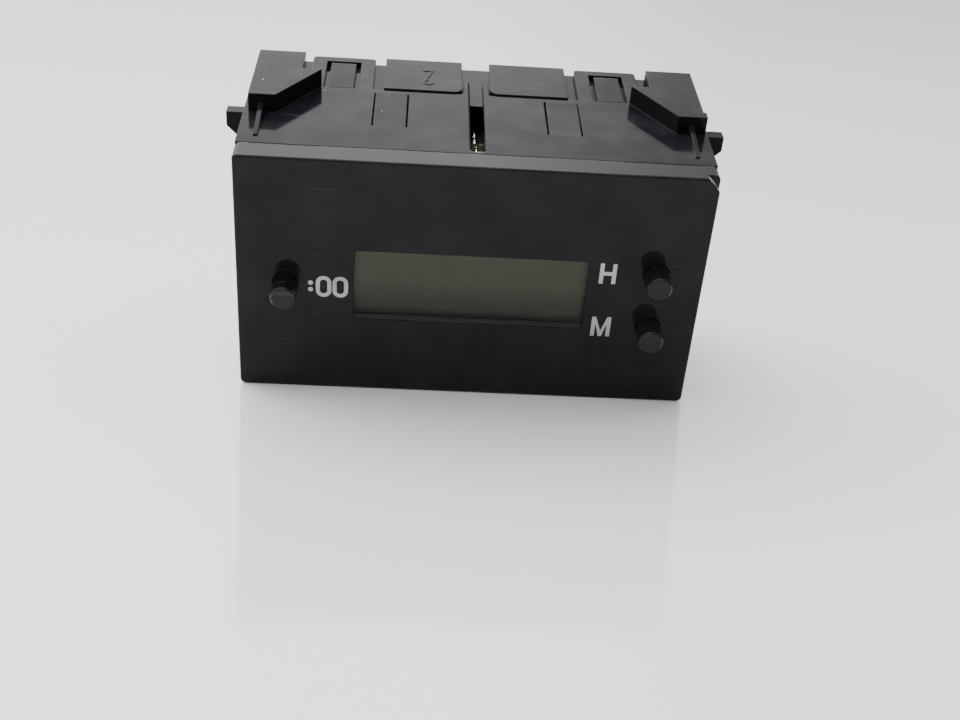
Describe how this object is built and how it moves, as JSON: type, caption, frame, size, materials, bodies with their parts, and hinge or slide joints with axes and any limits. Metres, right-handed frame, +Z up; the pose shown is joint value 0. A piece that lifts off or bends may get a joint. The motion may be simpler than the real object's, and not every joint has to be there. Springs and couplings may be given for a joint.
{
  "type": "dashboard clock module",
  "caption": "Car dashboard digital clock: black face with display window and push pins, deep case with corner stop blocks, snap-in rear cover, rear socket and mounting lugs.",
  "frame": {"origin": "midway between the two mounting holes, on the front side of the lugs under the rear cover", "axes": "+X to the right across the face, +Y from the face to the rear along the mounting holes, +Z up the face"},
  "size_m": [0.0988, 0.0537, 0.0665],
  "materials": {
    "screw_steel": "zinc-plated steel",
    "button_plastic": "black moulded plastic, glossy sides and satin end",
    "tinned_metal": "tinned copper",
    "ferrite": "grey ferrite",
    "copper_wire": "enamelled copper wire",
    "chip_resin": "black epoxy",
    "strip_rubber": "layered conductive rubber",
    "crystal_can": "drawn metal can",
    "diffuser_film": "milky white sheet",
    "diode_body": "black resin, tinned leads",
    "board": "green solder mask over glass laminate",
    "white_plastic": "white moulded plastic",
    "cover_plastic": "black moulded plastic, polished front, light dust and fine scuffs",
    "display_glass": "clear display glass",
    "polariser": "dark film",
    "switch_plastic": "black moulded plastic",
    "lamp_glass": "green-coated bulb glass",
    "holder_plastic": "brown heat-resistant plastic",
    "foam": "closed-cell foam",
    "case_plastic": "black moulded plastic, fine satin texture",
    "print_ink": "pale grey printed ink",
    "resistor_body": "tan lacquer, tinned leads",
    "capacitor_sleeve": "dark shrink sleeve",
    "socket_plastic": "natural nylon",
    "plunger_plastic": "red moulded plastic",
    "regulator_body": "black resin with a metal tab",
    "lens_plastic": "smoked clear plastic"
  },
  "bodies": {
    "clock": {"board_screws": "screw_steel", "chip_leads": "tinned_metal", "choke_core": "ferrite", "choke_winding": "copper_wire", "clock_chip": "chip_resin", "contact_strip_lower": "strip_rubber", "contact_strip_upper": "strip_rubber", "crystal": "crystal_can", "diffuser": "diffuser_film", "diode_1": "diode_body", "diode_2": "diode_body", "display_board": "board", "display_frame": "white_plastic", "face_cover": "cover_plastic", "front_glass": "display_glass", "front_polariser": "polariser", "header_block": "switch_plastic", "header_pins": "tinned_metal", "lamp_bulb_left": "lamp_glass", "lamp_bulb_right": "lamp_glass", "lamp_holder_left": "holder_plastic", "lamp_holder_right": "holder_plastic", "light_seal": "foam", "main_case": "case_plastic", "power_board": "board", "print_colon_zeros": "print_ink", "print_hour": "print_ink", "print_minute": "print_ink", "rear_cover": "case_plastic", "rear_glass": "display_glass", "rear_polariser": "polariser", "resistors": "resistor_body", "smoothing_capacitor": "capacitor_sleeve", "socket_contacts": "tinned_metal", "socket_housing": "socket_plastic", "switch_body_hour": "switch_plastic", "switch_body_minute": "switch_plastic", "switch_body_zero": "switch_plastic", "voltage_regulator": "regulator_body", "window_lens": "lens_plastic"},
    "zero_button": {"button_zero": "button_plastic", "switch_plunger_zero": "plunger_plastic"},
    "hour_button": {"button_hour": "button_plastic", "switch_plunger_hour": "plunger_plastic"},
    "minute_button": {"button_minute": "button_plastic", "switch_plunger_minute": "plunger_plastic"}
  },
  "joints": [
    {"name": "zero_press", "type": "slide", "parent": "clock", "child": "zero_button", "axis": [0, 1, 0], "range_m": [0, 0.0012], "stiffness_N_per_m": 1500},
    {"name": "hour_press", "type": "slide", "parent": "clock", "child": "hour_button", "axis": [0, 1, 0], "range_m": [0, 0.0012], "stiffness_N_per_m": 1500},
    {"name": "minute_press", "type": "slide", "parent": "clock", "child": "minute_button", "axis": [0, 1, 0], "range_m": [0, 0.0012], "stiffness_N_per_m": 1500}
  ]
}
